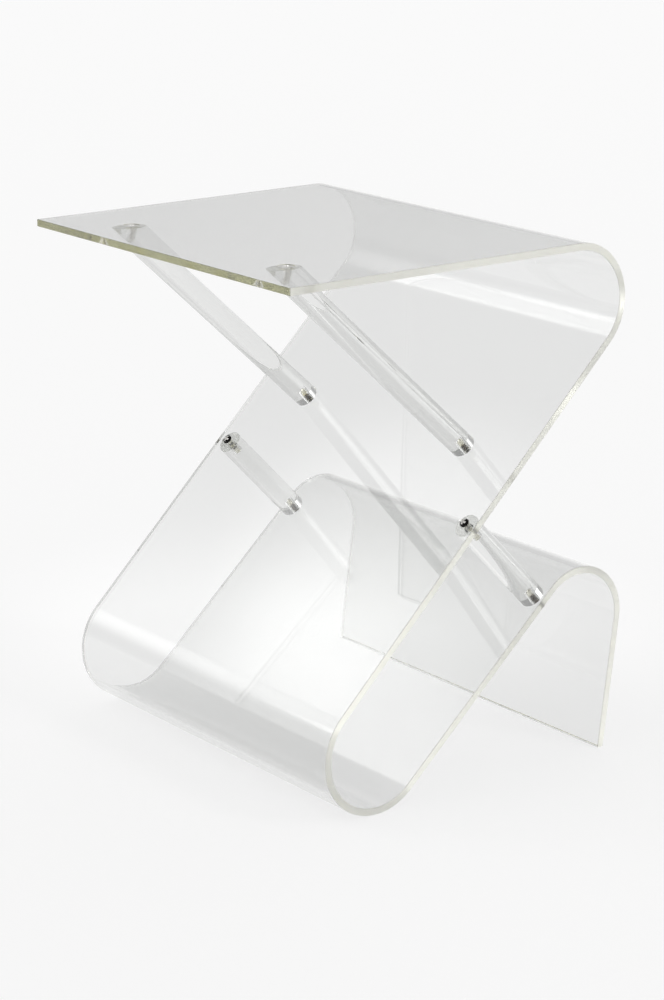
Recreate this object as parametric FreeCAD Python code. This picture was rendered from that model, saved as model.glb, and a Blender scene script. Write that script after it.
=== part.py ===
import FreeCAD, Part
import math
import os

# A clear acrylic side table: one sheet bent into a Z with a foot, four round stays and eight machine screws.
# Millimetres and degrees. +Z is up, -X is the tabletop's free front edge, and the profile runs along Y.
# The origin is on the floor, in the middle of the table's depth and width.

# Sheet
table_width = 370.0
table_height = 465.0
tabletop_depth = 362.0
sheet_thickness = 6.35
upper_bend_inner_radius = 47.0
lower_bend_inner_radius = 49.5
foot_bend_inner_radius = 44.0
diagonal_slope = 44.4
rising_slope = 42.2
rising_flat_length = 214.0
leg_lean = 7.2

# Stays
rod_diameter = 22.2
upper_rod_front_setback = 48.5
upper_rod_down_diagonal = 137.0
upper_rod_side_inset = 73.0
lower_rod_side_margin = 2.5
lower_rod_bend_margin = 1.7

# Round-head screws that hold the stays to the sloping panels
screw_thread_diameter = 4.83
screw_length = 12.7
screw_head_diameter = 8.5
screw_head_height = 3.1
screw_head_rim = 0.9
screw_hole_runout = 6.0

# Countersunk screws that hold the upper stays to the tabletop
flat_screw_thread_diameter = 6.35
flat_screw_length = 15.9
flat_screw_head_diameter = 13.2
flat_screw_head_rim = 0.3
flat_screw_recess = 0.3
flat_screw_hole_runout = 1.5
flat_screw_hole_wall = 1.5

# Fits and small cuts
thread_gap = 0.05
sheet_hole_gap = 0.25
thread_end_chamfer = 0.6
drill_point_angle = 118.0
recess_span_share = 0.55
recess_arm_share = 0.15
recess_depth_share = 0.45
recess_floor_share = 0.35

UP = FreeCAD.Vector(0, 0, 1)
SIDES = {"left": 1, "right": -1}

# Derived sizes
half_sheet = sheet_thickness / 2
rod_radius = rod_diameter / 2
screw_engagement = screw_length - sheet_thickness
flat_screw_reach = flat_screw_recess + flat_screw_length - sheet_thickness
flat_hole_depth = flat_screw_reach + flat_screw_hole_runout
flat_hole_radius = flat_screw_thread_diameter / 2 + thread_gap
upper_rod_y = table_width / 2 - upper_rod_side_inset
lower_rod_y = table_width / 2 - lower_rod_side_margin - rod_radius
half_space_size = 2 * (table_height + table_width + tabletop_depth)


def run(heading):
    """Unit vector along a heading in the XZ plane, in degrees from +X towards +Z."""
    angle = math.radians(heading)
    return FreeCAD.Vector(math.cos(angle), 0, math.sin(angle))


def left(heading):
    """Unit vector a quarter turn to the left of a heading, in the XZ plane."""
    return run(heading + 90)


class SheetPath:
    """Walks the sheet's middle line in the XZ plane and keeps the edges of its two faces."""

    def __init__(self, start, heading):
        self.point = start
        self.heading = heading
        self.left_edges = []
        self.right_edges = []
        self.reach = [start.x]

    def face_points(self, point, heading):
        offset = left(heading) * half_sheet
        return point + offset, point - offset

    def straight(self, length):
        """Adds a flat panel and returns its start point and heading."""
        panel = (self.point, self.heading)
        end = self.point + run(self.heading) * length
        starts = self.face_points(self.point, self.heading)
        ends = self.face_points(end, self.heading)
        self.left_edges.append(Part.LineSegment(starts[0], ends[0]).toShape())
        self.right_edges.append(Part.LineSegment(starts[1], ends[1]).toShape())
        self.point = end
        return panel

    def bend(self, radius, turn):
        """Adds a bend of a middle-line radius that turns left by turn degrees, or right if it is negative."""
        side = math.copysign(1, turn)
        centre = self.point + left(self.heading) * (side * radius)
        headings = [self.heading, self.heading + turn / 2, self.heading + turn]
        middles = [centre - left(h) * (side * radius) for h in headings]
        faces = [self.face_points(p, h) for p, h in zip(middles, headings)]
        self.left_edges.append(Part.Arc(*[f[0] for f in faces]).toShape())
        self.right_edges.append(Part.Arc(*[f[1] for f in faces]).toShape())
        self.reach += [centre.x - radius - half_sheet, centre.x + radius + half_sheet]
        self.point = middles[-1]
        self.heading = headings[-1]

    def straight_to_floor(self):
        """Adds the last flat panel, whose end is cut level on the floor."""
        downward = run(self.heading)
        ends = []
        starts = self.face_points(self.point, self.heading)
        for edges, start in zip((self.left_edges, self.right_edges), starts):
            end = start - downward * (start.z / downward.z)
            edges.append(Part.LineSegment(start, end).toShape())
            ends.append(end)
        return ends


def bent_sheet_path():
    """The whole profile from the tabletop's front edge to the foot, with the two sloping panels."""
    upper_radius = upper_bend_inner_radius + half_sheet
    lower_radius = lower_bend_inner_radius + half_sheet
    foot_radius = foot_bend_inner_radius + half_sheet
    path = SheetPath(FreeCAD.Vector(0, 0, table_height - half_sheet), 0)
    front = path.face_points(path.point, path.heading)
    path.straight(tabletop_depth - upper_radius - half_sheet)
    path.bend(upper_radius, diagonal_slope - 180)
    # the diagonal is as long as brings the lower bend's outside down to the floor
    lower_bend_centre_height = lower_radius + half_sheet
    diagonal_end_height = lower_bend_centre_height - left(path.heading).z * lower_radius
    drop = diagonal_end_height - path.point.z
    diagonal_panel = path.straight(drop / run(path.heading).z)
    path.bend(lower_radius, 180 - diagonal_slope + rising_slope)
    rising_panel = path.straight(rising_flat_length)
    path.bend(foot_radius, -(rising_slope + 90 + leg_lean))
    foot = path.straight_to_floor()
    return path, diagonal_panel, rising_panel, front, foot


def panel_point(panel, along, side):
    """Point on a panel's left face (side 1) or right face (side -1), at a distance along from its start."""
    start, heading = panel
    return start + run(heading) * along + left(heading) * (side * half_sheet)


def distance_to_face(panel, side, point, direction):
    """How far a point is from a panel's face, measured along a direction in the XZ plane."""
    normal = left(panel[1])
    return (panel_point(panel, 0, side) - point).dot(normal) / direction.dot(normal)


def aimed(shape, point, direction):
    """Turns a shape made along +Z to a direction and moves its origin to a point."""
    shape.Placement = FreeCAD.Placement(point, FreeCAD.Rotation(UP, direction))
    return shape


def half_space(point, normal):
    """A block far larger than the table, standing on a plane through point, on the side of normal."""
    corner = FreeCAD.Vector(-half_space_size / 2, -half_space_size / 2, 0)
    return aimed(Part.makeBox(half_space_size, half_space_size, half_space_size, corner), point, normal)


def drilled_hole(point, direction, diameter, depth):
    """A blind hole from point along direction, with a drill point. It starts one radius outside its mouth."""
    radius = diameter / 2
    point_height = radius / math.tan(math.radians(drill_point_angle / 2))
    barrel = Part.makeCylinder(radius, depth + radius, FreeCAD.Vector(0, 0, -radius))
    tip = Part.makeCone(radius, 0, point_height, FreeCAD.Vector(0, 0, depth))
    return aimed(barrel.fuse(tip).removeSplitter(), point, direction)


def through_hole(point, direction, diameter):
    """A straight hole through the sheet, from a face point along direction, with room past both faces."""
    room = diameter
    barrel = Part.makeCylinder(diameter / 2, sheet_thickness + 2 * room, FreeCAD.Vector(0, 0, -room))
    return aimed(barrel, point, direction)


def cross_recess(head_diameter, head_height):
    """Cross-shaped driver recess that opens at z = 0 and goes down along +Z, narrower at its floor."""
    span = head_diameter * recess_span_share
    arm = head_diameter * recess_arm_share
    depth = head_height * recess_depth_share + head_height
    taper = Part.makeCone(span / 2, span / 2 * recess_floor_share, depth, FreeCAD.Vector(0, 0, -head_height))
    along = Part.makeBox(span, arm, depth, FreeCAD.Vector(-span / 2, -arm / 2, -head_height))
    across = Part.makeBox(arm, span, depth, FreeCAD.Vector(-arm / 2, -span / 2, -head_height))
    return along.fuse(across).removeSplitter().common(taper)


def threaded_shank(diameter, length):
    """Plain shank of the thread's outer diameter along +Z from z = 0, with a chamfered end."""
    radius = diameter / 2
    straight = Part.makeCylinder(radius, length - thread_end_chamfer)
    end = Part.makeCone(
        radius,
        radius - thread_end_chamfer,
        thread_end_chamfer,
        FreeCAD.Vector(0, 0, length - thread_end_chamfer),
    )
    return straight.fuse(end)


def round_head_screw(bearing_point, direction):
    """Round-head screw: the head bears on the sheet at bearing_point and the shank goes along direction."""
    radius = screw_head_diameter / 2
    crown = screw_head_height - screw_head_rim
    crown_radius = (radius * radius + crown * crown) / (2 * crown)
    half_angle = math.asin(radius / crown_radius) / 2
    crown_centre = FreeCAD.Vector(0, 0, crown_radius - screw_head_height)
    on_crown = FreeCAD.Vector(math.sin(half_angle), 0, -math.cos(half_angle)) * crown_radius
    seat = FreeCAD.Vector(0, 0, 0)
    seat_edge = FreeCAD.Vector(radius, 0, 0)
    rim_edge = FreeCAD.Vector(radius, 0, -screw_head_rim)
    top = FreeCAD.Vector(0, 0, -screw_head_height)
    outline = Part.Wire([
        Part.LineSegment(seat, seat_edge).toShape(),
        Part.LineSegment(seat_edge, rim_edge).toShape(),
        Part.Arc(rim_edge, crown_centre + on_crown, top).toShape(),
        Part.LineSegment(top, seat).toShape(),
    ])
    head = Part.Face(outline).revolve(seat, UP, 360)
    recess = cross_recess(screw_head_diameter, screw_head_height)
    recess.translate(top)
    shank = threaded_shank(screw_thread_diameter, screw_length)
    screw = head.fuse(shank).removeSplitter().cut(recess)
    return aimed(screw, bearing_point, direction)


def flat_head_screw(top_point, direction):
    """Countersunk screw: its flat top lies at top_point and its shank goes along direction."""
    head_radius = flat_screw_head_diameter / 2
    thread_radius = flat_screw_thread_diameter / 2
    cone_height = head_radius - thread_radius
    rim = Part.makeCylinder(head_radius, flat_screw_head_rim)
    cone = Part.makeCone(head_radius, thread_radius, cone_height, FreeCAD.Vector(0, 0, flat_screw_head_rim))
    shank = threaded_shank(flat_screw_thread_diameter, flat_screw_length)
    recess = cross_recess(flat_screw_head_diameter, flat_screw_head_rim + cone_height)
    screw = rim.fuse(cone).fuse(shank).removeSplitter().cut(recess)
    return aimed(screw, top_point, direction)


def countersink(surface_point, direction):
    """Hole in the tabletop that the flat head seats in: the head's own cone carried up to the surface."""
    mouth_radius = flat_screw_head_diameter / 2 + flat_screw_recess + flat_screw_head_rim
    hole_radius = flat_screw_thread_diameter / 2 + sheet_hole_gap
    depth = mouth_radius - hole_radius
    room = hole_radius
    cone = Part.makeCone(mouth_radius, hole_radius, depth)
    above = Part.makeCylinder(mouth_radius, room, FreeCAD.Vector(0, 0, -room))
    barrel = Part.makeCylinder(hole_radius, sheet_thickness + room)
    return aimed(above.fuse(cone).fuse(barrel).removeSplitter(), surface_point, direction)


def stay(start, end, start_cut, end_cut, holes):
    """A round rod along start to end, trimmed to the faces that it meets and drilled for its screws."""
    axis = end - start
    direction = FreeCAD.Vector(axis).normalize()
    spare = 2 * rod_diameter
    bar = aimed(Part.makeCylinder(rod_radius, axis.Length + 2 * spare), start - direction * spare, direction)
    for plane in (start_cut, end_cut):
        bar = bar.cut(half_space(*plane))
    for hole in holes:
        bar = bar.cut(hole)
    return bar


def single_solid(shape):
    """The one solid that a boolean's result holds."""
    solids = shape.Solids
    if len(solids) != 1:
        raise ValueError(f"expected one solid, got {len(solids)}")
    return solids[0]


path, diagonal, rising, front, foot = bent_sheet_path()
out_of_back = left(diagonal[1])
out_of_front = out_of_back * -1
out_of_rising = left(rising[1])

# Upper stays: from the tabletop's underside down to the diagonal's front face
upper_top = FreeCAD.Vector(upper_rod_front_setback, 0, table_height - sheet_thickness)
upper_foot = panel_point(diagonal, upper_rod_down_diagonal, -1)
upper_back = upper_foot + out_of_back * sheet_thickness
upper_axis = upper_foot - upper_top
upper_slope = math.atan2(-upper_axis.z, upper_axis.x)
half_mitre = rod_radius / math.sin(upper_slope)
half_mitre_at_hole = half_mitre * math.sqrt(1 - (flat_hole_radius / rod_radius) ** 2)
hole_bottom_shift = flat_hole_depth / math.tan(upper_slope)
# the tabletop screw stands back from the stay's middle, so that a wall is left below its hole
flat_screw_offset = (
    flat_hole_radius + flat_screw_hole_wall / math.sin(upper_slope) - half_mitre_at_hole + hole_bottom_shift
)
flat_screw_seat = upper_top + FreeCAD.Vector(flat_screw_offset, 0, 0)
tabletop_point = flat_screw_seat + UP * sheet_thickness
flat_head_top = tabletop_point - UP * flat_screw_recess

# Lower stays: square to the diagonal's back face, down to the rising panel just below the foot bend
lower_foot = panel_point(rising, rising_flat_length - lower_rod_bend_margin - rod_radius, 1)
lower_head = lower_foot + out_of_back * distance_to_face(diagonal, 1, lower_foot, out_of_back)
lower_front = lower_head + out_of_front * sheet_thickness
lower_back = lower_foot - out_of_rising * sheet_thickness

thread_hole = screw_thread_diameter + 2 * thread_gap
screw_hole = screw_thread_diameter + 2 * sheet_hole_gap
hole_depth = screw_engagement + screw_hole_runout

profile = Part.Wire(
    path.left_edges
    + [Part.LineSegment(*foot).toShape()]
    + path.right_edges[::-1]
    + [Part.LineSegment(front[1], front[0]).toShape()]
)
across_table = FreeCAD.Vector(0, table_width, 0)
sheet = Part.Face(profile).extrude(across_table)
sheet.translate(across_table * -0.5)

nodes = {}
for side, sign in SIDES.items():
    at_upper = FreeCAD.Vector(0, sign * upper_rod_y, 0)
    at_lower = FreeCAD.Vector(0, sign * lower_rod_y, 0)
    sheet = sheet.cut(countersink(tabletop_point + at_upper, UP * -1))
    sheet = sheet.cut(through_hole(upper_foot + at_upper, out_of_back, screw_hole))
    sheet = sheet.cut(through_hole(lower_front + at_lower, out_of_back, screw_hole))
    sheet = sheet.cut(through_hole(lower_back + at_lower, out_of_rising, screw_hole))
    nodes[f"upper_rod_{side}"] = stay(
        upper_top + at_upper,
        upper_foot + at_upper,
        (upper_top, UP),
        (upper_foot, out_of_back),
        [
            drilled_hole(flat_screw_seat + at_upper, UP * -1, 2 * flat_hole_radius, flat_hole_depth),
            drilled_hole(upper_foot + at_upper, out_of_front, thread_hole, hole_depth),
        ],
    )
    nodes[f"lower_rod_{side}"] = stay(
        lower_head + at_lower,
        lower_foot + at_lower,
        (lower_head, out_of_front),
        (lower_foot, out_of_rising * -1),
        [
            drilled_hole(lower_head + at_lower, out_of_back, thread_hole, hole_depth),
            drilled_hole(lower_foot + at_lower, out_of_rising, thread_hole, hole_depth),
        ],
    )
    nodes[f"tabletop_screw_{side}"] = flat_head_screw(flat_head_top + at_upper, UP * -1)
    nodes[f"upper_rod_screw_{side}"] = round_head_screw(upper_back + at_upper, out_of_front)
    nodes[f"lower_rod_front_screw_{side}"] = round_head_screw(lower_front + at_lower, out_of_back)
    nodes[f"lower_rod_back_screw_{side}"] = round_head_screw(lower_back + at_lower, out_of_rising)
nodes["bent_sheet"] = sheet

# The origin goes to the middle of the depth
to_origin = FreeCAD.Vector(-(min(path.reach) + max(path.reach)) / 2, 0, 0)
os.makedirs("parts", exist_ok=True)
for name, shape in nodes.items():
    solid = single_solid(shape)
    solid.translate(to_origin)
    solid.exportStep(f"parts/{name}.step")
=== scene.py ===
import math
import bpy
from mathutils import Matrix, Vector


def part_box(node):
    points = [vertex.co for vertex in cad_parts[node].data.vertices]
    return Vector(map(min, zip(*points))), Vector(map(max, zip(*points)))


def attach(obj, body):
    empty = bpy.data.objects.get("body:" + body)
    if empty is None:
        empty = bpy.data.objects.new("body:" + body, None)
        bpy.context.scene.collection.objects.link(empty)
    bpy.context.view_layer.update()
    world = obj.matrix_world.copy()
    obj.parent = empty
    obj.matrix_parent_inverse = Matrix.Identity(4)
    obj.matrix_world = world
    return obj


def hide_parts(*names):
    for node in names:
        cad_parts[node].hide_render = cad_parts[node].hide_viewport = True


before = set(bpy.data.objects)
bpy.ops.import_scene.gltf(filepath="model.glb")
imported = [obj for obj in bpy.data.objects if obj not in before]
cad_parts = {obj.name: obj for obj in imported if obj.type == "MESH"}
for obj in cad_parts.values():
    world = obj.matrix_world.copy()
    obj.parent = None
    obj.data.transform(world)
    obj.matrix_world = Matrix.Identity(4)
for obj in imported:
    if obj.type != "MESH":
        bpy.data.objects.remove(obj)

from types import SimpleNamespace

import bpy
import numpy as np
from bpy.props import FloatProperty, FloatVectorProperty, PointerProperty
from mathutils import Matrix

# A clear acrylic side table: one bent sheet, four round stays and eight machine screws.
# Metres, +Z up. -X is the tabletop's free front edge, and the sheet's profile runs along Y.

bl_info = {
    "name": "Acrylic side table",
    "version": (1, 0, 0),
    "blender": (4, 5, 0),
    "location": "3D View > Sidebar > Table",
    "description": "Builds a clear acrylic side table from a bent sheet, round stays and machine screws",
    "category": "Mesh",
}

MM = 0.001
SIDES = (("left", 1), ("right", -1))
ACROSS = np.array([0.0, 1.0, 0.0])
UP = np.array([0.0, 0.0, 1.0])
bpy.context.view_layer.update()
SHEET_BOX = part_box("bent_sheet")
FULL_TURN = 2 * math.pi

# Mesh density
BEND_STEPS = 72
ARRIS_STEPS = 4
RING_STEPS = 96
HOLE_STEPS = 48
THREAD_STEPS = 10
HEAD_RINGS = 40
HEAD_STEPS = 144
ARRIS_TURN = np.linspace(0, math.pi / 2, ARRIS_STEPS + 1)

# Points that share a place on a grid this fine, in metres, are welded
WELD = 2e-8

# Half a window round a hole, as a multiple of a countersink's mouth or of a plain hole
FLAT_WINDOW = 1.4
ROUND_WINDOW = 1.8

# Screw heads: shares of the rim and of a recess's arm that are rounded, and the slope of the arm's ends
RIM_ROUNDING = 0.2
RECESS_WALL = 0.3
RECESS_SLOPE = 1.5

# Marks on a screw's faces: a thread's roots and how far off they may read, and where the recess starts
ROOT_MARK = 0.5
MARK_SLACK = 0.1
RECESS_FROM = 0.75

# Noise in the finishes: waves in a metre, and layers of finer waves
HAIRLINE_NOISE = (9.0, 2.0)
HAZE_NOISE = (14.0, 3.0)
RIPPLE_NOISE = (90.0, 1.0)
STAIN_NOISE = (60.0, 3.0)
GRAIN_NOISE = (900.0, 4.0)
TOOTH_NOISE = (400.0, 2.0)

# What noise turns into: its low and high levels, and the values that they give
HAIRLINE_PEAKS = (0.68, 0.74)
HAZE_ROUGHNESS = (0.45, 0.75, 0.004, 0.02)
STAIN_AMOUNT = (0.45, 0.72, 0.4, 1.0)
RUST_AMOUNT = (0.3, 0.7, 0.55, 0.95)
STEEL_ROUGHNESS = (0.25, 0.8, 0.05, 0.14)

# Relief: depths in metres, and how strongly they show
HAIRLINE_DEPTH = 0.00002
RIPPLE_DEPTH = 0.00003
GRAIN_DEPTH = 0.00002
TOOTH_DEPTH = 0.0001
SHEET_SCRATCHES = 0.15
STAY_SCRATCHES = 0.1
GRAIN_STRENGTH = 0.1
TOOTH_STRENGTH = 0.05

# Acrylic: its hairlines as turns and spacings, its edges, and the sides' band as a multiple of the arris
HAIRLINES = (((0.3, 0.5, 0.9), 40.0), ((1.2, 0.2, -0.6), 55.0))
ACRYLIC_IOR = 1.49
EDGE_ROUGHNESS = 0.06
SANDED_ROUGHNESS = 0.3
SIDE_BAND = 1.5
SIDE_CLEANNESS = 0.85

# Rust and floor paper
RUST_ROUGHNESS = 0.25
PAPER_ROUGHNESS = 0.9

# Camera: its sensor in millimetres, and how far it sees in metres
SENSOR_WIDTH = 36.0
SIGHT = 100.0

# Light runs a long way inside the sheet before it leaves by an edge
LIGHT_BOUNCES = 200

# Studio light. A soft light is its azimuth from +Y to +X, its elevation, core and reach in degrees,
# and its strength. A negative strength is a dark card.
SKY_LOW = 0.62
SKY_HIGH = 0.48
SKY_FADE = 0.9
HORIZON_LIFT = 0.27
HORIZON_REACH = 0.12
# Painted pool of light in the floor's glow that fills in the table's shadow: its middle, and where it
# starts and stops fading
PAINTED_POOL_PLACE = (0.18, 0.25, 0.0)
PAINTED_POOL_CORE = 0.03
PAINTED_POOL_REACH = 0.42
WINDOW = (-36.0, 28.0, 4.0, 19.0, 2.5)
WINDOW_SILL = (0.12, 0.48)
SOFT_LIGHTS = (
    (-42.0, 22.0, 1.0, 6.0, 3.0),
    (-23.2, 38.2, 1.0, 5.2, 1.75),
    (-60.0, 58.0, 8.0, 26.0, 1.3),
    (38.0, 27.0, 4.0, 14.0, 0.1),
    (45.0, 10.0, 25.0, 65.0, 0.12),
    (90.0, 28.0, 20.0, 60.0, 0.4),
    (110.0, 36.0, 4.0, 18.0, -0.7),
    (165.0, 22.0, 12.0, 45.0, 0.5),
    (150.0, 38.0, 2.0, 8.0, 16.0),
)


def length(name, description, millimetres):
    """A size in metres, with its default given in millimetres."""
    return FloatProperty(
        name=name, description=description, default=millimetres * MM, min=0.0, precision=5, unit="LENGTH"
    )


def angle(name, description, degrees):
    """An angle, with its default given in degrees."""
    default = math.radians(degrees)
    return FloatProperty(name=name, description=description, default=default, subtype="ANGLE")


def share(name, description, default):
    """A plain number from 0 to 1."""
    return FloatProperty(
        name=name, description=description, default=default, min=0.0, max=1.0, subtype="FACTOR"
    )


def colour(name, description, default):
    """A linear RGB colour."""
    return FloatVectorProperty(
        name=name, description=description, default=default, min=0.0, max=1.0, size=3, subtype="COLOR"
    )


def box_middle(node):
    """Middle of a node's box in the frame."""
    low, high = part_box(node)
    return (low + high) / 2


class SheetSizes(bpy.types.PropertyGroup):
    """The bent sheet: its size, and the bends that make the tabletop, the pocket and the foot."""

    width: length("Width", "Across the table", (SHEET_BOX[1].y - SHEET_BOX[0].y) / MM)
    height: length("Height", "Floor to tabletop", SHEET_BOX[1].z / MM)
    tabletop_depth: length("Tabletop depth", "Front edge to the back of the upper bend", 362.0)
    thickness: length("Thickness", "Of the sheet", 6.35)
    upper_radius: length("Upper bend", "Inner radius behind the tabletop", 47.0)
    lower_radius: length("Lower bend", "Inner radius of the pocket", 49.5)
    foot_radius: length("Foot bend", "Inner radius above the leg", 44.0)
    diagonal_slope: angle("Diagonal slope", "Of the long sloping panel", 44.4)
    rising_slope: angle("Rising slope", "Of the panel behind the pocket", 42.2)
    rising_length: length("Rising length", "Flat length behind the pocket", 214.0)
    leg_lean: angle("Leg lean", "Of the leg from upright", 7.2)
    arris: length("Arris", "Radius of the polished edges", 0.5)
    hole_gap: length("Hole gap", "Between a screw and its hole in the sheet", 0.25)
    mouth: length("Hole mouth", "Chamfer where a hole meets a face", 0.3)


class StaySizes(bpy.types.PropertyGroup):
    """The round stays and where they meet the sheet."""

    diameter: length("Diameter", "Of every stay", 22.2)
    upper_setback: length("Upper setback", "From the front edge to an upper stay's middle", 48.5)
    upper_down: length("Upper foot", "From the upper bend down to an upper stay's foot", 137.0)
    lower_margin: length("Lower margin", "From a lower stay's foot to the foot bend", 1.7)
    arris: length("Arris", "Radius of the stays' ends", 0.35)
    contact_gap: length("Contact gap", "Thin air gap where acrylic meets acrylic", 0.08)


class ScrewSizes(bpy.types.PropertyGroup):
    """Round-head screws in the sloping panels and countersunk screws in the tabletop."""

    thread_diameter: length("Thread", "Outer diameter of a round-head screw's thread", 4.83)
    pitch: length("Pitch", "Of the round-head screws", 1.06)
    shank_length: length("Length", "Under a round head", 12.7)
    head_diameter: length("Head", "Diameter of a round head", 8.5)
    head_height: length("Head height", "Of a round head", 3.1)
    head_rim: length("Head rim", "Straight side of a round head", 0.9)
    runout: length("Runout", "Empty tapped hole past a round-head screw", 6.0)
    flat_thread_diameter: length("Flat thread", "Outer diameter of a countersunk screw's thread", 6.35)
    flat_pitch: length("Flat pitch", "Of the countersunk screws", 1.27)
    flat_length: length("Flat length", "Of a countersunk screw with its head", 15.9)
    flat_head_diameter: length("Flat head", "Diameter of a countersunk head", 13.2)
    flat_head_rim: length("Flat rim", "Straight side of a countersunk head", 0.3)
    flat_sink: length("Sink", "Of a countersunk head under the tabletop", 0.3)
    flat_runout: length("Flat runout", "Empty tapped hole past a countersunk screw", 1.5)
    thread_depth: share("Thread depth", "As a share of the pitch", 0.6)
    thread_gap: length("Thread gap", "Between a screw and its tapped hole", 0.1)
    end_chamfer: length("End chamfer", "At a screw's tip, deeper than its thread", 0.8)
    point_angle: angle("Drill point", "Of the tapped holes", 118.0)
    recess_span: share("Recess span", "Cross recess, as a share of the head", 0.62)
    recess_arm: share("Recess arm", "Width of an arm, as a share of the head", 0.19)
    recess_depth: length("Recess depth", "Of the cross recess", 1.7)


class Finishes(bpy.types.PropertyGroup):
    """Colours of the acrylic and of the screws, and the floor's colour and light."""

    sheet: colour("Sheet", "Light left after passing through the sheet", (0.87, 0.873, 0.87))
    stay: colour("Stay", "Light left after passing through a stay", (0.845, 0.848, 0.845))
    depth_colour: colour("Depth colour", "What the acrylic turns to deep inside", (0.62, 0.63, 0.42))
    depth_density: FloatProperty(
        name="Depth density", description="Absorbed in each metre of acrylic", default=1.0, min=0.0
    )
    edge: colour("Edge", "Clean parts of the cut edges", (0.97, 0.97, 0.97))
    stain: colour("Stain", "Yellowed patches along the cut edges", (0.80, 0.76, 0.50))
    sanding: share("Sanding", "How matt the side edges of the sheet are", 0.27)
    dark_screw: colour("Dark screw", "Blackened steel of the round-head screws", (0.02, 0.019, 0.018))
    screw: colour("Screw", "Bright plated steel", (0.74, 0.73, 0.71))
    worn: colour("Worn", "Bright steel in the screws' recesses", (0.86, 0.85, 0.83))
    rust: colour("Rust", "Brown film in the threads", (0.20, 0.12, 0.06))
    floor: colour("Floor", "Pale studio floor", (0.22, 0.22, 0.22))
    # The painted pool of light in the floor's glow, which fills in the table's shadow behind the pocket
    painted_pool_light: share("Painted pool light", "Light that comes up through the floor behind the pocket", 0.845)
    floor_light: share("Floor light", "Light that comes up through the floor far from the table", 0.75)


class StageSettings(bpy.types.PropertyGroup):
    """Where the camera stands, and the floor."""

    camera_place: FloatVectorProperty(
        name="Camera",
        description="Where the camera stands",
        default=(-1.46658, -1.88173, 0.91205),
        subtype="TRANSLATION",
    )
    camera_azimuth: angle("Azimuth", "Of the camera about the table", -37.977)
    camera_elevation: angle("Elevation", "Of the camera above level", 16.222)
    camera_roll: angle("Roll", "Of the camera about its line of sight", 0.228)
    lens: FloatProperty(name="Lens", description="Focal length in millimetres", default=100.02, min=1.0)
    floor_gap: length("Floor gap", "Between the table and the floor", 0.3)
    floor_size: length("Floor size", "Side of the floor", 40000.0)


GROUPS = {
    "table_sheet": SheetSizes,
    "table_stays": StaySizes,
    "table_screws": ScrewSizes,
    "table_finishes": Finishes,
    "table_stage": StageSettings,
}


def unit(vectors):
    """Vectors scaled to length one."""
    return vectors / np.linalg.norm(vectors, axis=-1, keepdims=True)


def along(heading):
    """Unit vectors of headings in the XZ plane, from +X towards +Z."""
    heading = np.asarray(heading, float)
    return np.stack([np.cos(heading), np.zeros_like(heading), np.sin(heading)], -1)


def ring_angles(steps):
    """Angles of even steps round a full turn."""
    return np.arange(steps) * FULL_TURN / steps


def left_of(heading):
    """Unit vectors a quarter turn to the left of headings in the XZ plane."""
    return along(np.asarray(heading) + math.pi / 2)


class Skin:
    """Patches of one closed surface. They are welded into a mesh that keeps each patch's own normals."""

    def __init__(self):
        self.points = []
        self.normals = []
        self.corners = []
        self.marks = []
        self.count = 0

    def add(self, points, normals, corners, mark=0.0):
        """Adds points, outward normals and faces of four corners. A triangle repeats its last corner."""
        points = np.reshape(points, (-1, 3))
        normals = np.broadcast_to(normals, points.shape).reshape(-1, 3)
        a, b, c, d = (points[corners[:, k]] for k in range(4))
        facing = np.einsum("ij,ij->i", np.cross(c - a, d - b), normals[corners].sum(1))
        corners = np.where(facing[:, None] < 0, corners[:, ::-1], corners)
        self.points.append(points)
        self.normals.append(normals)
        self.corners.append(corners + self.count)
        self.marks.append(np.broadcast_to(np.asarray(mark, float), len(corners)))
        self.count += len(points)

    def grid(self, points, normals, wrap=False, keep=None, mark=0.0):
        """Adds a grid of points in rows and columns.

        wrap joins the last column to the first, and keep picks quads."""
        rows, columns = points.shape[:2]
        normals = np.broadcast_to(normals, points.shape)
        index = np.arange(rows * columns).reshape(rows, columns)
        if wrap:
            index = np.concatenate([index, index[:, :1]], 1)
        quads = np.stack([index[:-1, :-1], index[:-1, 1:], index[1:, 1:], index[1:, :-1]], -1)
        keep = np.ones(quads.shape[:2], bool) if keep is None else keep
        mark = np.broadcast_to(np.asarray(mark, float), quads.shape[:2])
        self.add(points, normals.reshape(-1, 3), quads[keep], mark[keep])

    def mesh(self, name):
        """Welds points that share a place, drops corners that repeat and sets the patches' normals."""
        points = np.concatenate(self.points)
        normals = np.concatenate(self.normals)
        corners = np.concatenate(self.corners)
        marks = np.concatenate(self.marks)
        places = np.round(points / WELD).astype(np.int64)
        _, first, weld = np.unique(places, axis=0, return_index=True, return_inverse=True)
        welded = weld.reshape(-1)[corners]
        real = welded != np.roll(welded, -1, 1)
        whole = real.sum(1) >= 3
        welded, real, corners, marks = welded[whole], real[whole], corners[whole], marks[whole]
        counts = real.sum(1)
        mesh = bpy.data.meshes.new(name)
        mesh.vertices.add(len(first))
        mesh.vertices.foreach_set("co", points[first].astype(np.float32).ravel())
        mesh.loops.add(int(counts.sum()))
        mesh.loops.foreach_set("vertex_index", welded[real].astype(np.int32))
        mesh.polygons.add(len(counts))
        mesh.polygons.foreach_set("loop_start", (np.cumsum(counts) - counts).astype(np.int32))
        mesh.polygons.foreach_set("use_smooth", np.ones(len(counts), bool))
        mesh.update(calc_edges=True)
        if mesh.validate():
            raise RuntimeError(f"the surface of {name} isn't a clean mesh")
        mesh.normals_split_custom_set(unit(normals[corners][real]).astype(np.float32))
        mesh.attributes.new("mark", "FLOAT", "FACE").data.foreach_set("value", marks.astype(np.float32))
        return mesh


def put(skin, name, node, material):
    """Makes a piece that stands for its node, rides on the table and takes a slot's finish."""
    piece = bpy.data.objects.new(name, skin.mesh(name))
    piece.data.materials.append(material)
    bpy.context.scene.collection.objects.link(piece)
    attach(piece, "root")
    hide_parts(node)


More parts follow.
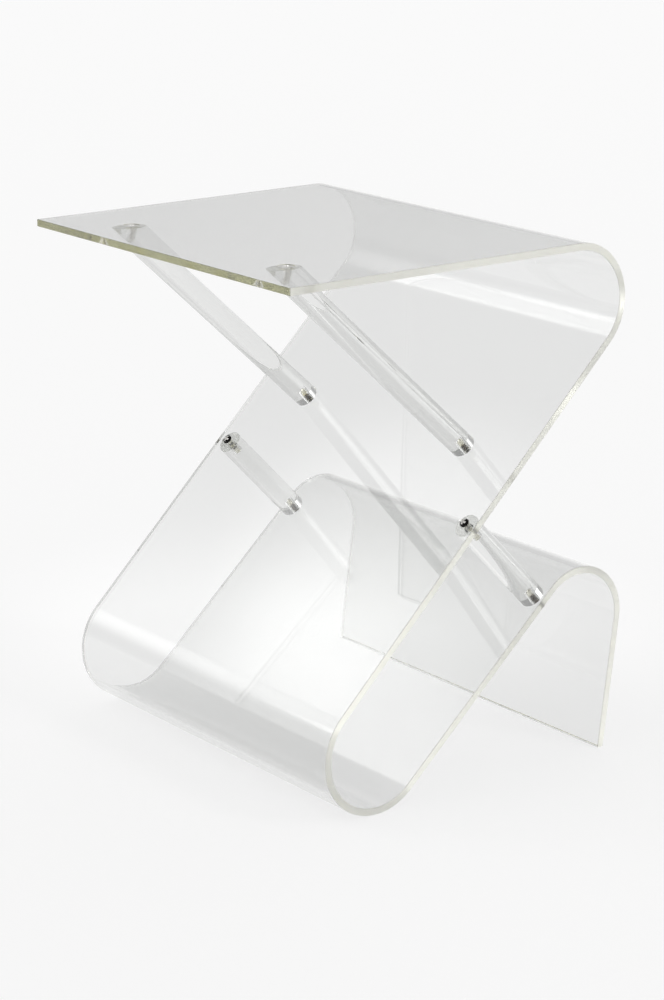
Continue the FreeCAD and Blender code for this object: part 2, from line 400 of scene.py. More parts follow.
def grid_normals(points, outward):
    """Normals of a grid that wraps in its columns: row steps cross column steps, turned outward."""
    down = np.gradient(points, axis=0)
    round_about = np.roll(points, -1, 1) - np.roll(points, 1, 1)
    normals = unit(np.cross(down, round_about))
    facing = np.einsum("...i,...i->...", normals, np.broadcast_to(outward, points.shape))
    return normals * np.where(facing < 0, -1.0, 1.0)[..., None]


class Axis:
    """A place and a direction, with polar coordinates about it."""

    def __init__(self, place, direction):
        self.place = np.asarray(place, float)
        self.direction = np.asarray(direction, float)
        self.first = ACROSS
        self.second = np.cross(self.direction, ACROSS)

    def out(self, angles):
        """Unit vectors straight out from the axis at angles."""
        return np.cos(angles)[..., None] * self.first + np.sin(angles)[..., None] * self.second

    def point(self, radius, angles, depth):
        """Points at a radius and angle about the axis and a depth along it."""
        radius, angles, depth = np.broadcast_arrays(radius, angles, depth)
        return self.place + radius[..., None] * self.out(angles) + depth[..., None] * self.direction

    def angle_of(self, vectors):
        """Angles of vectors about the axis."""
        return np.arctan2(vectors @ self.second, vectors @ self.first)


def revolve(skin, axis, angles, profile, side, mark=0.0):
    """Turns a profile of radius and depth pairs about an axis. side is 1 on a solid and -1 in a hole.

    Each step of the profile is a cone of its own, whose normal is square to the step."""
    for (radius_a, depth_a), (radius_b, depth_b) in zip(profile, profile[1:]):
        run = math.hypot(radius_b - radius_a, depth_b - depth_a)
        outward = side * (depth_b - depth_a) / run
        upward = -side * (radius_b - radius_a) / run
        ring = np.stack([axis.point(radius_a, angles, depth_a), axis.point(radius_b, angles, depth_b)])
        normals = outward * axis.out(angles) + upward * axis.direction
        skin.grid(ring, normals, wrap=True, mark=mark)


def thread_radius(diameter, pitch, depth_share, depth, angles):
    """Radius of a thread: twice a triangle wave less a half, cut flat at 0 and 1, one pitch in a turn."""
    phase = (depth / pitch + angles / FULL_TURN) % 1.0
    wave = np.clip(2.0 * np.abs(2.0 * phase - 1.0) - 0.5, 0.0, 1.0)
    return diameter / 2 - (1.0 - wave) * depth_share * pitch


class MiddleLine:
    """The sheet's middle line in the XZ plane: flat stretches and even bends, by length and turn."""

    def __init__(self, start, stretches):
        self.lengths, self.turns = np.array(stretches).T
        self.starts = np.concatenate([[0.0], np.cumsum(self.lengths)])
        self.headings = np.concatenate([[0.0], np.cumsum(self.turns)])
        steps = self.chord(self.lengths, self.headings[:-1], self.turns)
        self.places = np.concatenate([[start], start + np.cumsum(steps, 0)])

    @staticmethod
    def chord(run, heading, turn):
        """Step over a run that turns evenly: run * sinc(turn / 2) long, along heading + turn / 2."""
        return (run * np.sinc(turn / FULL_TURN))[..., None] * along(heading + turn / 2)

    def at(self, distance):
        """Places and headings at distances along the line."""
        distance = np.asarray(distance, float)
        i = np.clip(np.searchsorted(self.starts, distance, side="right") - 1, 0, len(self.lengths) - 1)
        run = distance - self.starts[i]
        turn = self.turns[i] * run / self.lengths[i]
        return self.places[i] + self.chord(run, self.headings[i], turn), self.headings[i] + turn

    def face(self, distance, side):
        """Point on the sheet beside the middle line, side metres to its left."""
        place, heading = self.at(distance)
        return place + left_of(heading) * np.asarray(side)[..., None]


def sheet_line(sheet):
    """The middle line from the front edge to the floor. The bends' heights give the flat lengths."""
    half = sheet.thickness / 2
    upper, lower, foot = (r + half for r in (sheet.upper_radius, sheet.lower_radius, sheet.foot_radius))
    first_turn = sheet.diagonal_slope - math.pi
    second_turn = sheet.rising_slope - first_turn
    leg_heading = -math.pi / 2 - sheet.leg_lean
    diagonal_top = sheet.height - half - upper * (1 - math.cos(first_turn))
    diagonal_foot = half + lower * (1 - math.cos(first_turn))
    rising_foot = half + lower * (1 - math.cos(sheet.rising_slope))
    rising_top = rising_foot + sheet.rising_length * math.sin(sheet.rising_slope)
    leg_top = rising_top - foot * (math.cos(sheet.rising_slope) - math.cos(leg_heading))
    start = np.array([SHEET_BOX[0].x, 0.0, sheet.height - half])
    return MiddleLine(start, [
        (sheet.tabletop_depth - upper - half, 0.0),
        (upper * -first_turn, first_turn),
        ((diagonal_foot - diagonal_top) / math.sin(first_turn), 0.0),
        (lower * second_turn, second_turn),
        (sheet.rising_length, 0.0),
        (foot * (sheet.rising_slope - leg_heading), leg_heading - sheet.rising_slope),
        (leg_top / math.cos(sheet.leg_lean), 0.0),
    ])


def table_layout(scene):
    """Where the stays meet the sheet and where every screw sits, from the sheet's line and the sizes."""
    sheet, stays, screws = scene.table_sheet, scene.table_stays, scene.table_screws
    line = sheet_line(sheet)
    half = sheet.thickness / 2
    diagonal, rising = line.starts[2], line.starts[4]
    out_of_back = left_of(line.headings[2])
    out_of_rising = left_of(line.headings[4])
    flat_screw = box_middle("tabletop_screw_left")
    upper_y = abs(flat_screw.y)
    lower_y = abs(box_middle("lower_rod_left").y)
    upper_at = diagonal + stays.upper_down
    lower_back_at = rising + sheet.rising_length - stays.lower_margin - stays.diameter / 2
    upper_top = np.array([SHEET_BOX[0].x + stays.upper_setback, 0.0, sheet.height - sheet.thickness])
    upper_foot = line.face(upper_at, -half)
    lower_foot = line.face(lower_back_at, half)
    back_face = line.face(diagonal, half)
    lower_head = lower_foot + out_of_back * ((back_face - lower_foot) @ out_of_back)
    lower_front_at = diagonal + (lower_head - back_face) @ along(line.headings[2])
    flat_mouth = np.array([flat_screw.x, 0.0, sheet.height - sheet.thickness])
    return SimpleNamespace(
        line=line,
        upper_y=upper_y,
        lower_y=lower_y,
        flat_at=flat_screw.x - SHEET_BOX[0].x,
        upper_at=upper_at,
        lower_front_at=lower_front_at,
        lower_back_at=lower_back_at,
        upper_ends=((upper_top, UP), (upper_foot, out_of_back)),
        lower_ends=((lower_head, -out_of_back), (lower_foot, -out_of_rising)),
        flat_hole=Axis(flat_mouth, -UP),
        upper_hole=Axis(upper_foot, -out_of_back),
        lower_front_hole=Axis(lower_head, out_of_back),
        lower_back_hole=Axis(lower_foot, out_of_rising),
        flat_depth=screws.flat_sink + screws.flat_length - sheet.thickness,
        depth=screws.shank_length - sheet.thickness,
    )


def moved(axis, y):
    """The same axis, moved across the table."""
    return Axis(axis.place + ACROSS * y, axis.direction)


def sheet_sections(sheet, across_cuts):
    """One section of the sheet as a closed loop of core points (across, through) and normal angles.

    The core is the section drawn in by the arris. The surface lies one arris out from it at the angle."""
    wide = sheet.width / 2 - sheet.arris
    thick = sheet.thickness / 2 - sheet.arris
    face = np.concatenate([[-wide], across_cuts, [wide]])
    columns = []
    for sign, start_angle in ((1, math.pi / 2), (-1, -math.pi / 2)):
        level = np.full(len(face), sign * thick), np.full(len(face), start_angle)
        columns.append(np.stack([sign * face, *level]))
        for corner_side in (sign, -sign):
            angles = start_angle - ARRIS_TURN + (0 if corner_side == sign else -math.pi / 2)
            corner = np.full(len(angles), sign * wide), np.full(len(angles), corner_side * thick)
            columns.append(np.stack([*corner, angles]))
    loop = np.concatenate(columns, 1)
    on_face = np.concatenate([np.full(c.shape[1], c.shape[1] == len(face)) for c in columns])
    return loop, on_face & np.roll(on_face, -1)


def sheet_skin(scene, layout):
    """The bent sheet: its rounded section carried along the middle line, with windows for the holes.

    A point is line(s) + through * left(s) + across * Y. Both ends shrink by a quarter circle."""
    sheet, screws = scene.table_sheet, scene.table_screws
    line = layout.line
    half = sheet.thickness / 2
    gap = scene.table_stays.contact_gap
    round_hole = screws.thread_diameter / 2 + sheet.hole_gap
    flat_hole = screws.flat_thread_diameter / 2 + sheet.hole_gap
    flat_mouth = screws.flat_head_diameter / 2 + screws.flat_sink + screws.flat_head_rim + gap
    through = [
        (round_hole + sheet.mouth, -half),
        (round_hole, -half + sheet.mouth),
        (round_hole, half - sheet.mouth),
        (round_hole + sheet.mouth, half),
    ]
    sunk = [
        (flat_mouth, -half),
        (flat_hole, -half + flat_mouth - flat_hole),
        (flat_hole, half - sheet.mouth),
        (flat_hole + sheet.mouth, half),
    ]
    upper_window = FLAT_WINDOW * flat_mouth
    lower_window = ROUND_WINDOW * round_hole
    holes = [
        (layout.flat_at, layout.upper_y, upper_window, sunk),
        (layout.upper_at, layout.upper_y, upper_window, through),
        (layout.lower_front_at, layout.lower_y, lower_window, through),
        (layout.lower_back_at, layout.lower_y, lower_window, through),
    ]
    across_cuts = np.array(sorted(
        sign * y + edge
        for y, window in ((layout.upper_y, upper_window), (layout.lower_y, lower_window))
        for sign in (-1, 1)
        for edge in (-window, window)
    ))
    loop, on_face = sheet_sections(sheet, across_cuts)

    # Stations along the line: even steps round the bends, and the windows' edges on the flat stretches
    rows = [line.starts[-1] - sheet.arris, sheet.arris]
    for start, end, turn in zip(line.starts, line.starts[1:], line.turns):
        rows.extend(np.linspace(start, end, BEND_STEPS + 1) if turn else [])
    rows.extend(at + edge for at, _, window, _ in holes for edge in (-window, window))
    rows = np.sort(rows)
    front = sheet.arris * (1 - np.cos(ARRIS_TURN))
    stations = np.concatenate([front[:-1], rows, line.starts[-1] - front[:-1][::-1]])
    grow = np.concatenate([np.sin(ARRIS_TURN)[:-1], np.ones(len(rows)), np.sin(ARRIS_TURN)[:-1][::-1]])
    ahead = np.concatenate([-np.cos(ARRIS_TURN)[:-1], np.zeros(len(rows)), np.cos(ARRIS_TURN)[:-1][::-1]])

    # Points and normals of the section at every station. The leg's end is sheared to lie on the floor
    offset = sheet.arris * grow[:, None]
    across = loop[0] + offset * np.cos(loop[2])
    side = loop[1] + offset * np.sin(loop[2])
    down_leg = np.clip((stations - line.starts[-2]) / line.lengths[-1], 0, 1)[:, None]
    place, heading = line.at(stations[:, None] - side * math.tan(sheet.leg_lean) * down_leg)
    points = place + side[..., None] * left_of(heading) + across[..., None] * ACROSS
    tip = np.where(ahead[:, None, None] > 0, -UP, along(heading))
    section = np.cos(loop[2])[:, None] * ACROSS + np.sin(loop[2])[:, None] * left_of(heading)
    normals = unit(grow[:, None, None] * section + ahead[:, None, None] * tip)

    keep = np.ones((len(stations) - 1, loop.shape[1]), bool)
    middle_row = (stations[:-1] + stations[1:]) / 2
    middle_column = (loop[0] + np.roll(loop[0], -1)) / 2
    for at, y, window, _ in holes:
        in_rows = np.abs(middle_row - at) < window
        in_columns = on_face & (np.abs(np.abs(middle_column) - y) < window)
        keep[np.ix_(in_rows, in_columns)] = False
    skin = Skin()
    edge = np.broadcast_to(np.where(on_face, 0.0, 1.0), keep.shape)
    skin.grid(points, normals, wrap=True, keep=keep, mark=edge)

    # Flat ends of the sheet
    count = len(across_cuts) + 2
    bottom = len(on_face) // 2
    for row, normal in ((0, -along(0.0)), (-1, -UP)):
        ends = np.stack([points[row, :count], points[row, bottom:bottom + count][::-1]])
        skin.grid(ends, normal, mark=1.0)

    for at, y, window, profile in holes:
        for sign in (-1, 1):
            sheet_hole(skin, line, at, sign * y, window, profile, half)
    return skin


def sheet_hole(skin, line, at, y, window, profile, half):
    """A hole through a flat part of the sheet: faces from a square window to its rims, and its wall."""
    place, heading = line.at(at)
    axis = Axis(place + ACROSS * y, -left_of(heading))
    angles = ring_angles(HOLE_STEPS)
    revolve(skin, axis, angles, profile, -1, mark=1.0)
    quarter = HOLE_STEPS // 4
    corner_angles = (np.arange(4) + 0.5) * math.pi / 2
    ring = np.arange(HOLE_STEPS)
    corner_of = HOLE_STEPS + ring // quarter
    fans = np.stack([corner_of, ring, (ring + 1) % HOLE_STEPS, (ring + 1) % HOLE_STEPS], 1)
    sides = np.arange(4)
    corner = HOLE_STEPS + sides
    next_corner = HOLE_STEPS + (sides + 1) % 4
    spans = np.stack([corner, (sides + 1) * quarter % HOLE_STEPS, next_corner, next_corner], 1)
    for radius, depth in (profile[0], profile[-1]):
        rim = axis.point(radius, angles, depth)
        square = axis.point(window * math.sqrt(2), corner_angles, depth)
        normal = axis.direction * math.copysign(1, depth)
        skin.add(np.concatenate([rim, square]), normal, np.concatenate([fans, spans]))


def stay_skin(scene, ends, holes, y):
    """A round stay: a circle carried along its axis, cut off by a plane and tapped at each end.

    At an angle the side runs from plane to plane, and a quarter circle leads on to each end face."""
    stays = scene.table_stays
    start, end = ends[0][0], ends[1][0]
    rod = Axis(start + ACROSS * y, unit(end - start))
    angles = ring_angles(RING_STEPS)
    turn = ARRIS_TURN[:, None]
    radius = stays.diameter / 2 - stays.arris * (1 - np.sin(turn))
    skin = Skin()
    rims, normals = [], []
    for place, outward in ends:
        slope = rod.direction @ outward
        plane = place + ACROSS * y - outward * stays.contact_gap
        reach = ((plane - rod.place) @ outward - radius * (rod.out(angles) @ outward)) / slope
        reach = reach - math.copysign(stays.arris, slope) * (1 - np.cos(turn))
        rims.append(rod.point(radius, angles, reach))
        rounded = np.cos(turn)[..., None] * outward + np.sin(turn)[..., None] * rod.out(angles)
        normals.append(unit(rounded))
    points = np.concatenate([rims[0], rims[1][::-1]])
    skin.grid(points, np.concatenate([normals[0], normals[1][::-1]]), wrap=True)
    for (axis, hole), rim, (_, outward) in zip(holes, rims, ends):
        tapped_hole(skin, scene, moved(axis, y), hole, rim[0], outward)
    return skin


def tapped_hole(skin, scene, axis, hole, rim, outward):
    """End face from a stay's rim to the hole's mouth, a threaded barrel and the cone of a drill point."""
    screws = scene.table_screws
    gap = scene.table_stays.contact_gap
    angles = axis.angle_of(rim - axis.place)
    clear = hole.diameter + 2 * screws.thread_gap
    mouth = axis.point(clear / 2, angles, gap)
    skin.grid(np.stack([rim, mouth]), outward, wrap=True)
    steps = int(hole.depth / hole.pitch * THREAD_STEPS)
    depth = np.linspace(gap, hole.depth, steps)[:, None]
    fade = np.clip((depth - gap) / hole.pitch, 0, 1)
    radius = thread_radius(clear, hole.pitch, screws.thread_depth * fade, depth, angles)
    radius[-1] = radius.min()
    barrel = axis.point(radius, angles, depth)
    normals = grid_normals(barrel, -axis.out(angles))
    skin.grid(barrel, normals, wrap=True, mark=1.0)
    point_height = radius.min() / math.tan(screws.point_angle / 2)
    point = [(radius.min(), hole.depth), (0.0, hole.depth + point_height)]
    revolve(skin, axis, angles, point, -1, mark=1.0)


def recess_depth(screws, head_diameter, across, along_arm):
    """Depth of a cross recess on a head: two crossed slots with sloping ends and smooth-step walls."""
    span = head_diameter * screws.recess_span / 2
    arm = head_diameter * screws.recess_arm / 2
    depth = np.zeros(np.broadcast(across, along_arm).shape)
    for far, near in ((across, along_arm), (along_arm, across)):
        end = np.clip(RECESS_SLOPE * (span - np.abs(far)) / span, 0.0, 1.0)
        wall = np.clip((arm - np.abs(near)) / (RECESS_WALL * arm), 0.0, 1.0)
        depth = np.maximum(depth, end * wall * wall * (3 - 2 * wall))
    return depth * screws.recess_depth


def head_top(skin, screws, axis, diameter, crown):
    """Top of a screw head: rings about the axis at the crown's height, less the recess's depth."""
    radius = np.linspace(0, diameter / 2, HEAD_RINGS + 1)[:, None]
    angles = ring_angles(HEAD_STEPS)
    cut = recess_depth(screws, diameter, radius * np.cos(angles), radius * np.sin(angles))
    points = axis.point(radius, angles, cut - crown(radius))
    normals = grid_normals(points[1:], -axis.direction)
    skin.grid(points[1:], normals, wrap=True, mark=(cut[1:-1] > 0) | (cut[2:] > 0))
    ring = 1 + np.arange(HEAD_STEPS)
    fan = np.stack([np.zeros(HEAD_STEPS, int), ring] + 2 * [1 + ring % HEAD_STEPS], 1)
    fan_normals = np.concatenate([[-axis.direction], normals[0]])
    skin.add(np.concatenate([points[0, :1], points[1]]), fan_normals, fan, mark=1.0)


def screw_shank(skin, screws, axis, start, end, diameter, pitch, offset):
    """Threaded shank between two depths, with a chamfered tip. The thread's wave starts at offset."""
    angles = ring_angles(HEAD_STEPS)
    steps = int((end - start) / pitch * THREAD_STEPS)
    depth = np.linspace(start, end, steps)[:, None]
    fade = np.clip((depth - start) / pitch, 0, 1)
    radius = thread_radius(diameter, pitch, screws.thread_depth * fade, depth - offset, angles)
    tip = diameter / 2 - screws.end_chamfer
    radius = np.minimum(radius, tip + np.maximum(end - depth, 0))
    radius[-1] = tip
    points = axis.point(radius, angles, depth)
    root = radius < diameter / 2 - screws.thread_depth * pitch / 2
    normals = grid_normals(points, axis.out(angles))
    skin.grid(points, normals, wrap=True, mark=ROOT_MARK * (root[:-1] & root[1:]))
    revolve(skin, axis, angles, [(tip, end), (0.0, end)], 1)


def round_head_skin(scene, axis):
    """Round-head screw that bears on the sheet at the axis: a spherical crown, a rim and a shank."""
    screws = scene.table_screws
    gap = scene.table_stays.contact_gap / 2
    radius = screws.head_diameter / 2
    crown_height = screws.head_height - screws.head_rim
    ball = (radius ** 2 + crown_height ** 2) / (2 * crown_height)
    skin = Skin()
    head_top(
        skin, screws, axis, screws.head_diameter,
        lambda r: screws.head_height - ball + np.sqrt(ball ** 2 - r ** 2),
    )
    angles = ring_angles(HEAD_STEPS)
    shank = screws.thread_diameter / 2
    rounding = RIM_ROUNDING * screws.head_rim
    rim = [
        (radius, -screws.head_rim),
        (radius, -gap - rounding),
        (radius - rounding, -gap),
        (shank, -gap),
    ]
    revolve(skin, axis, angles, rim, 1)
    screw_shank(
        skin, screws, axis, -gap, screws.shank_length,
        screws.thread_diameter, screws.pitch, scene.table_sheet.thickness,
    )
    return skin


def flat_head_skin(scene, axis):
    """Countersunk screw whose top lies at the axis: a rim, a cone that seats in the sheet and a shank."""
    screws = scene.table_screws
    radius = screws.flat_head_diameter / 2
    shank = screws.flat_thread_diameter / 2
    cone_end = screws.flat_head_rim + radius - shank
    skin = Skin()
    head_top(skin, screws, axis, screws.flat_head_diameter, lambda r: 0.0 * r)
    angles = ring_angles(HEAD_STEPS)
    revolve(skin, axis, angles, [(radius, 0.0), (radius, screws.flat_head_rim), (shank, cone_end)], 1)
    screw_shank(
        skin, screws, axis, cone_end, screws.flat_length,
        screws.flat_thread_diameter, screws.flat_pitch, scene.table_sheet.thickness - screws.flat_sink,
    )
    return skin


class Shader:
    """The node tree of a material or a world, with short ways to add nodes and join them."""

    def __init__(self, owner, output="ShaderNodeOutputMaterial"):
        owner.use_nodes = True
        self.tree = owner.node_tree
        self.tree.nodes.clear()
        self.output = self.tree.nodes.new(output)

    def node(self, kind, settings=None, **inputs):
        """Adds a node. Settings are its own values. Inputs are sockets by name, each a value or a link."""
        made = self.tree.nodes.new(kind)
        for key, value in (settings or {}).items():
            setattr(made, key, value)
        for key, value in inputs.items():
            self.feed(made.inputs[key.replace("_", " ")], value)
        return made

    def feed(self, socket, value):
        """Sets a socket to a value, or links it to another node's output."""
        if isinstance(value, bpy.types.NodeSocket):
            self.tree.links.new(value, socket)
        else:
            socket.default_value = value

    def math(self, operation, *values):
        """Output of a math node."""
        made = self.node("ShaderNodeMath", {"operation": operation})
        for socket, value in zip(made.inputs, values):
            self.feed(socket, value)
        return made.outputs[0]

    def mix(self, amount, first, second):
        """Output of a colour mix from the first to the second, each a colour or a link."""
        made = self.node("ShaderNodeMix", {"data_type": "RGBA"})
        self.feed(made.inputs["Factor"], amount)
        for socket, value in ((made.inputs["A"], first), (made.inputs["B"], second)):
            self.feed(socket, value if isinstance(value, bpy.types.NodeSocket) else (*value, 1.0))
        return made.outputs["Result"]

    def ramp(self, value, low, high, to_low=0.0, to_high=1.0):
        """Output that goes smoothly from one value to another as value goes from low to high."""
        made = self.node("ShaderNodeMapRange", {"interpolation_type": "SMOOTHSTEP"}, Value=value)
        ends = {"From Min": low, "From Max": high, "To Min": to_low, "To Max": to_high}
        for name, number in ends.items():
            made.inputs[name].default_value = number
        return made.outputs["Result"]

    def noise(self, place, scale, detail):
        """Output of a noise at places, with so many waves in a metre and layers of finer waves."""
        made = self.node("ShaderNodeTexNoise", Vector=place, Scale=scale, Detail=detail)
        return made.outputs["Fac"]


def hairlines(shader, place, turn, spacing):
    """Fine scratches along one direction: the peaks of a noise that is stretched long and thin."""
    stretch = (1.0, spacing, spacing)
    mapped = shader.node("ShaderNodeMapping", Vector=place, Rotation=turn, Scale=stretch)
    return shader.ramp(shader.noise(mapped.outputs[0], *HAIRLINE_NOISE), *HAIRLINE_PEAKS)


def acrylic(name, scene, tint, scratch):
    """Clear acrylic with a faint olive depth and hairlines. Its cut edges are stained, its sides sanded.

    Edges are rough from outside only, so that light inside the sheet runs on along it."""
    finishes = scene.table_finishes
    sheet = scene.table_sheet
    material = bpy.data.materials.new(name)
    shader = Shader(material)
    place = shader.node("ShaderNodeTexCoord").outputs["Object"]
    edge = shader.node("ShaderNodeAttribute", {"attribute_name": "mark"}).outputs["Fac"]
    marks = shader.math("MAXIMUM", *(hairlines(shader, place, *line) for line in HAIRLINES))
    smear = shader.ramp(shader.noise(place, *HAZE_NOISE), *HAZE_ROUGHNESS)
    across = shader.node("ShaderNodeSeparateXYZ", Vector=place).outputs["Y"]
    side_from = sheet.width / 2 - SIDE_BAND * sheet.arris
    side = shader.math("GREATER_THAN", shader.math("ABSOLUTE", across), side_from)
    outside = shader.math("SUBTRACT", 1.0, shader.node("ShaderNodeNewGeometry").outputs["Backfacing"])
    matt = shader.math("MULTIPLY", side, outside)
    cut = shader.math("MULTIPLY", edge, outside)
    sanded = shader.math("MULTIPLY_ADD", matt, SANDED_ROUGHNESS, smear)
    scratched = shader.node(
        "ShaderNodeBump", {"invert": True}, Height=marks, Strength=scratch, Distance=HAIRLINE_DEPTH
    )
    polished = shader.math("SUBTRACT", edge, side)
    bump = shader.node(
        "ShaderNodeBump",
        Height=shader.math("MULTIPLY", polished, shader.noise(place, *RIPPLE_NOISE)),
        Strength=1.0,
        Distance=RIPPLE_DEPTH,
        Normal=scratched.outputs[0],
    )
    patches = shader.ramp(shader.noise(place, *STAIN_NOISE), *STAIN_AMOUNT)
    age = shader.math("MULTIPLY", patches, shader.math("MULTIPLY_ADD", side, -SIDE_CLEANNESS, 1.0))
    stained = shader.mix(age, finishes.edge, finishes.stain)
    surface = shader.node(
        "ShaderNodeBsdfPrincipled",
        Base_Color=shader.mix(edge, tint, stained),
        Transmission_Weight=shader.math("MULTIPLY_ADD", matt, -finishes.sanding, 1.0),
        IOR=ACRYLIC_IOR,
        Roughness=shader.math("MULTIPLY_ADD", cut, EDGE_ROUGHNESS, sanded),
        Normal=bump.outputs[0],
    )
    inside = shader.node(
        "ShaderNodeVolumeAbsorption",
        Color=(*finishes.depth_colour, 1.0),
        Density=finishes.depth_density,
    )
    shader.feed(shader.output.inputs["Surface"], surface.outputs[0])
    shader.feed(shader.output.inputs["Volume"], inside.outputs[0])
    return material


def screw_steel(name, finishes, steel):
    """Glossy steel with handling marks, worn bright in the recess and rusty in the thread's roots."""
    material = bpy.data.materials.new(name)
    shader = Shader(material)
    place = shader.node("ShaderNodeTexCoord").outputs["Object"]
    mark = shader.node("ShaderNodeAttribute", {"attribute_name": "mark"}).outputs["Fac"]
    grain = shader.noise(place, *GRAIN_NOISE)
    recess = shader.math("GREATER_THAN", mark, RECESS_FROM)
    root = shader.math("COMPARE", mark, ROOT_MARK, MARK_SLACK)
    film = shader.math("MULTIPLY", root, shader.ramp(grain, *RUST_AMOUNT))
    rusty = shader.mix(film, steel, finishes.rust)
    wear = shader.ramp(grain, *STEEL_ROUGHNESS)
    bump = shader.node("ShaderNodeBump", Height=grain, Strength=GRAIN_STRENGTH, Distance=GRAIN_DEPTH)
    surface = shader.node(
        "ShaderNodeBsdfPrincipled",
        Base_Color=shader.mix(recess, rusty, finishes.worn),
        Metallic=1.0,
        Roughness=shader.math("MULTIPLY_ADD", film, RUST_ROUGHNESS, wear),
        Normal=bump.outputs[0],
    )
    shader.feed(shader.output.inputs["Surface"], surface.outputs[0])
    return material


def floor_paper(finishes):
    """Pale studio paper with a very faint tooth that glows from below, with a painted pool of light behind
    the pocket that fills in the table's shadow.
    """
    material = bpy.data.materials.new("floor_paper")
    material.cycles.emission_sampling = "NONE"
    shader = Shader(material)
    place = shader.node("ShaderNodeTexCoord").outputs["Object"]
    tooth = shader.noise(place, *TOOTH_NOISE)
    bump = shader.node("ShaderNodeBump", Height=tooth, Strength=TOOTH_STRENGTH, Distance=TOOTH_DEPTH)
    away = shader.node("ShaderNodeVectorMath", {"operation": "DISTANCE"})
    shader.feed(away.inputs[0], place)
    shader.feed(away.inputs[1], PAINTED_POOL_PLACE)
    lights = finishes.painted_pool_light, finishes.floor_light
    surface = shader.node(
        "ShaderNodeBsdfPrincipled",
        Base_Color=(*finishes.floor, 1.0),
        Roughness=PAPER_ROUGHNESS,
        Normal=bump.outputs[0],
        Emission_Color=(1.0, 1.0, 1.0, 1.0),
        Emission_Strength=shader.ramp(away.outputs["Value"], PAINTED_POOL_CORE, PAINTED_POOL_REACH, *lights),
    )
    shader.feed(shader.output.inputs["Surface"], surface.outputs[0])
    return material


def soft_light(shader, direction, azimuth, elevation, core, reach, strength):
    """Round light in the sky: a smooth step of the cosine of the angle from its middle."""
    level = math.cos(math.radians(elevation))
    middle = (
        level * math.sin(math.radians(azimuth)),
        level * math.cos(math.radians(azimuth)),
        math.sin(math.radians(elevation)),
    )
    facing = shader.node("ShaderNodeVectorMath", {"operation": "DOT_PRODUCT"})
    shader.feed(facing.inputs[0], direction)
    shader.feed(facing.inputs[1], middle)
    near, far = math.cos(math.radians(core)), math.cos(math.radians(reach))
    return shader.ramp(facing.outputs["Value"], far, near, 0.0, strength)


def studio_light(world):
    """Grey sky that fades to the top and is lifted at the horizon, a window light and soft lights.

    The window is a broad soft light that fades out below its sill."""
    shader = Shader(world, "ShaderNodeOutputWorld")
    direction = shader.node("ShaderNodeTexCoord").outputs["Generated"]
    height = shader.node("ShaderNodeSeparateXYZ", Vector=direction).outputs["Z"]
    sill = shader.ramp(height, *WINDOW_SILL)
    window = shader.math("MULTIPLY", soft_light(shader, direction, *WINDOW), sill)
    bright = shader.math("ADD", shader.ramp(height, 0.0, SKY_FADE, SKY_LOW, SKY_HIGH), window)
    bright = shader.math("ADD", bright, shader.ramp(height, 0.0, HORIZON_REACH, HORIZON_LIFT, 0.0))
    for light in SOFT_LIGHTS:
        bright = shader.math("ADD", bright, soft_light(shader, direction, *light))
    sky = shader.node("ShaderNodeBackground", Strength=bright)
    shader.feed(shader.output.inputs["Surface"], sky.outputs[0])


class TABLE_OT_sheet(bpy.types.Operator):
    """Builds the bent acrylic sheet"""

    bl_idname = "table.sheet"
    bl_label = "Bent sheet"

    def execute(self, context):
        scene = context.scene
        material = acrylic("acrylic_sheet", scene, scene.table_finishes.sheet, SHEET_SCRATCHES)
        skin = sheet_skin(scene, table_layout(scene))
        put(skin, "acrylic_sheet", "bent_sheet", material)
        return {"FINISHED"}


class TABLE_OT_stays(bpy.types.Operator):
    """Builds the four round acrylic stays"""

    bl_idname = "table.stays"
    bl_label = "Round stays"

    def execute(self, context):
        scene = context.scene
        screws = scene.table_screws
        layout = table_layout(scene)
        material = acrylic("acrylic_rod", scene, scene.table_finishes.stay, STAY_SCRATCHES)
        flat = SimpleNamespace(
            diameter=screws.flat_thread_diameter,
            pitch=screws.flat_pitch,
            depth=layout.flat_depth + screws.flat_runout,
        )
        tapped = SimpleNamespace(
            diameter=screws.thread_diameter, pitch=screws.pitch, depth=layout.depth + screws.runout
        )
        upper_holes = ((layout.flat_hole, flat), (layout.upper_hole, tapped))
        lower_holes = ((layout.lower_front_hole, tapped), (layout.lower_back_hole, tapped))
        for side, sign in SIDES:
            upper = stay_skin(scene, layout.upper_ends, upper_holes, sign * layout.upper_y)
            lower = stay_skin(scene, layout.lower_ends, lower_holes, sign * layout.lower_y)
            put(upper, f"upper_stay_{side}", f"upper_rod_{side}", material)
            put(lower, f"lower_stay_{side}", f"lower_rod_{side}", material)
        return {"FINISHED"}


class TABLE_OT_round_screws(bpy.types.Operator):
    """Builds the round-head screws that hold the stays to the sloping panels"""

    bl_idname = "table.round_screws"
    bl_label = "Round-head screws"

    def execute(self, context):
        scene = context.scene
        layout = table_layout(scene)
        material = screw_steel("blackened_screw", scene.table_finishes, scene.table_finishes.dark_screw)
        places = (
            ("upper", "upper_rod_screw", layout.upper_hole, layout.upper_y),
            ("lower_front", "lower_rod_front_screw", layout.lower_front_hole, layout.lower_y),
            ("lower_back", "lower_rod_back_screw", layout.lower_back_hole, layout.lower_y),
        )
        for place, node, hole, y in places:
            for side, sign in SIDES:
                seat = hole.place - hole.direction * scene.table_sheet.thickness + ACROSS * sign * y
                skin = round_head_skin(scene, Axis(seat, hole.direction))
                put(skin, f"round_screw_{place}_{side}", f"{node}_{side}", material)
        return {"FINISHED"}


